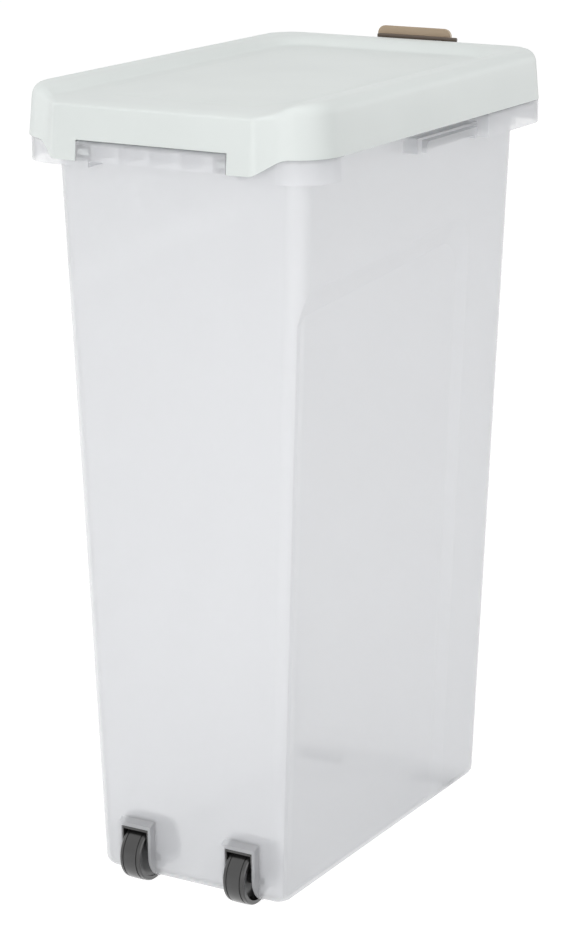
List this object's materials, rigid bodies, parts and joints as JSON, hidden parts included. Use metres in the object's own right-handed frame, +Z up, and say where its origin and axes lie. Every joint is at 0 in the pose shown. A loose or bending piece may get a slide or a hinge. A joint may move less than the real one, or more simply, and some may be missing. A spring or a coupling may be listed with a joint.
{
  "type": "pet food storage bin",
  "caption": "Tall tapered pet food bin in frosted plastic with rear wheels, a hinged gasketed lid, side hand grips and a rocking front latch.",
  "frame": {"origin": "centre of the base of the object's bounding box, on the floor under the wheels and the front feet", "axes": "+Z up, +Y towards the hinge and the wheels, +X to the right when looking from the latch towards the hinge"},
  "size_m": [0.2488, 0.3924, 0.6088],
  "materials": {
    "frosted_plastic": "frosted translucent polypropylene, fine moulded grain, milky white",
    "lid_plastic": "opaque pale mint-grey polypropylene, satin moulded skin",
    "seal_rubber": "soft pale grey silicone seal",
    "latch_plastic": "tan satin moulded plastic",
    "wheel_plastic": "near-black semi-gloss moulded plastic",
    "pin_steel": "plain drawn steel pin"
  },
  "bodies": {
    "bin": {"bin_body": "frosted_plastic", "axle_left": "pin_steel", "axle_right": "pin_steel"},
    "lid": {"lid": "lid_plastic", "lid_gasket": "seal_rubber", "latch_pin": "pin_steel", "hinge_pin_left": "lid_plastic", "hinge_pin_right": "lid_plastic"},
    "latch": {"latch": "latch_plastic"},
    "wheel_left": {"wheel_left": "wheel_plastic"},
    "wheel_right": {"wheel_right": "wheel_plastic"}
  },
  "joints": [
    {"name": "lid_hinge", "type": "hinge", "parent": "bin", "child": "lid", "pos_m": [0, 0.1907, 0.559], "axis": [-1, 0, 0], "range_deg": [0, 105]},
    {"name": "latch_rock", "type": "hinge", "parent": "lid", "child": "latch", "pos_m": [0, -0.1817, 0.588], "axis": [-1, 0, 0], "range_deg": [0, 25]},
    {"name": "wheel_left_spin", "type": "hinge", "parent": "bin", "child": "wheel_left", "pos_m": [-0.0453, 0.1474, 0.0215], "axis": [1, 0, 0], "continuous": true},
    {"name": "wheel_right_spin", "type": "hinge", "parent": "bin", "child": "wheel_right", "pos_m": [0.0453, 0.1474, 0.0215], "axis": [1, 0, 0], "continuous": true}
  ]
}
